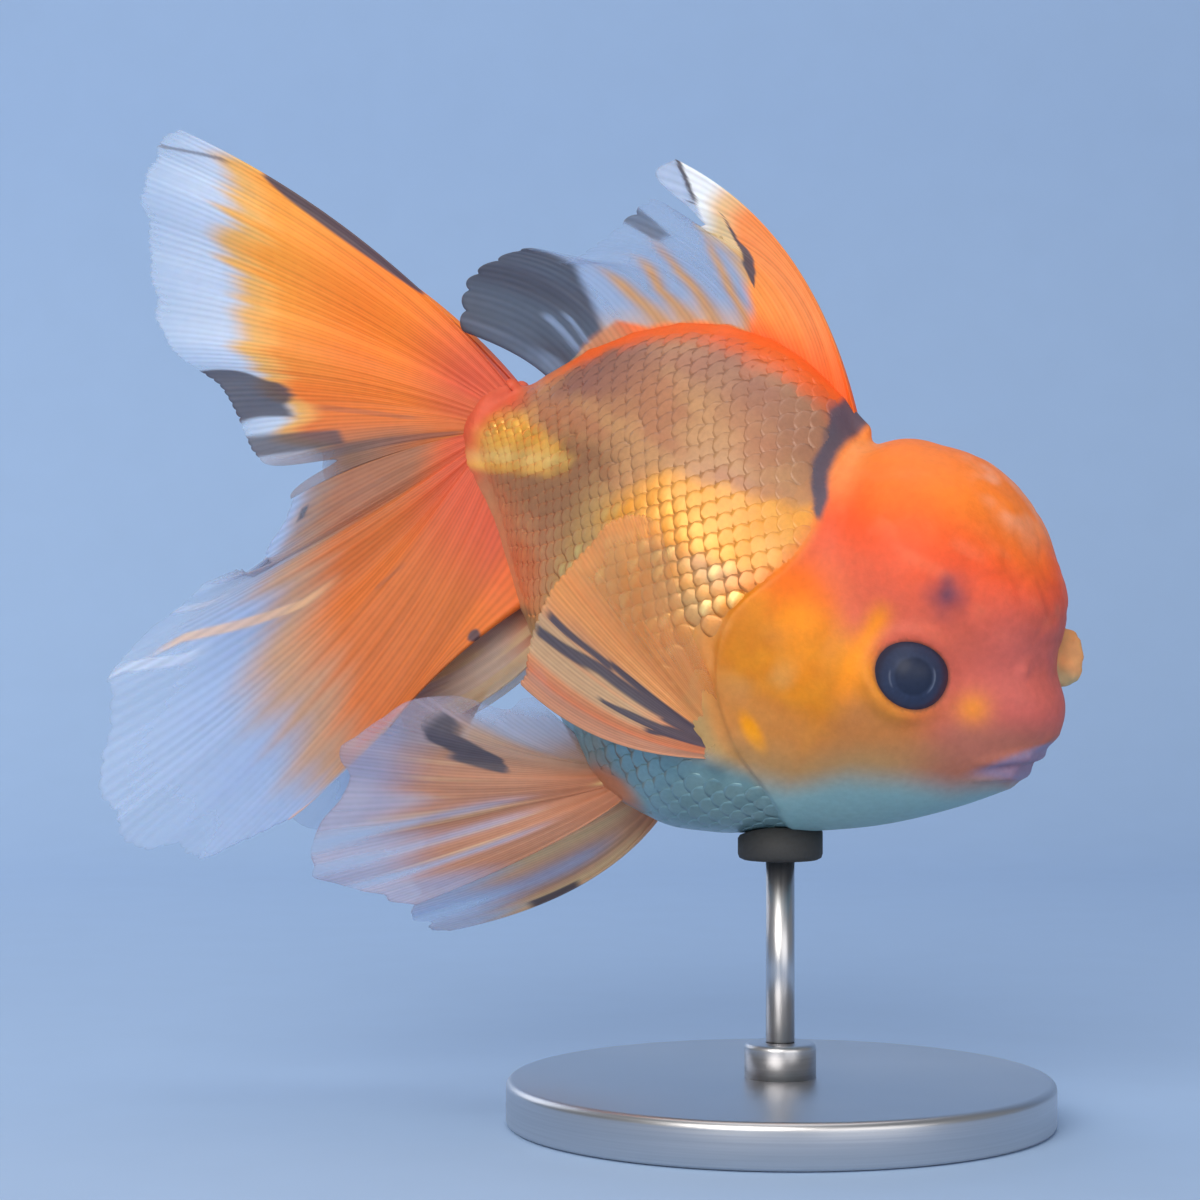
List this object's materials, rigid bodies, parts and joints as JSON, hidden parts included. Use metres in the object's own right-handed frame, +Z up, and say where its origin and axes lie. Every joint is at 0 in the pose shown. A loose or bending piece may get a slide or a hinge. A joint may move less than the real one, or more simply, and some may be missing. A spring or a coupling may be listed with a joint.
{
  "type": "oranda goldfish model",
  "caption": "Life-size still model of an oranda goldfish with a fleshy hood and flowing fins, nose down on a rod above a round base.",
  "frame": {"origin": "middle of the stand's underside, on the rod's axis", "axes": "+Z up, away from the surface that the base stands on; +X towards the fish's head; +Y to its left"},
  "size_m": [0.1545, 0.0918, 0.1555],
  "materials": {
    "skin": "wet scaled skin, gold and brownish orange over a grey belly",
    "hood": "smooth fleshy growth, vivid orange fading to coral",
    "lips": "moist lilac grey",
    "eyes": "clear cornea over a slate iris",
    "fins": "thin rayed skin, orange at the root and clear bluish white at the margin",
    "stand_metal": "brushed",
    "stand_pad": "matt"
  },
  "bodies": {
    "root": {"head": "skin", "hood": "hood", "gill_cover_right": "skin", "gill_cover_left": "skin", "trunk": "skin", "caudal_peduncle": "skin", "upper_lip": "lips", "lower_lip": "lips", "nostril_flap_right": "hood", "nostril_flap_left": "hood", "eye_right": "eyes", "eye_left": "eyes", "dorsal_fin": "fins", "tail_upper_right": "fins", "tail_lower_right": "fins", "tail_upper_left": "fins", "tail_lower_left": "fins", "anal_fin_right": "fins", "anal_fin_left": "fins", "pelvic_fin_right": "fins", "pelvic_fin_left": "fins", "pectoral_fin_right": "fins", "pectoral_fin_left": "fins", "stand_base": "stand_metal", "stand_collar": "stand_metal", "stand_rod": "stand_metal", "stand_cup": "stand_pad"}
  },
  "joints": []
}
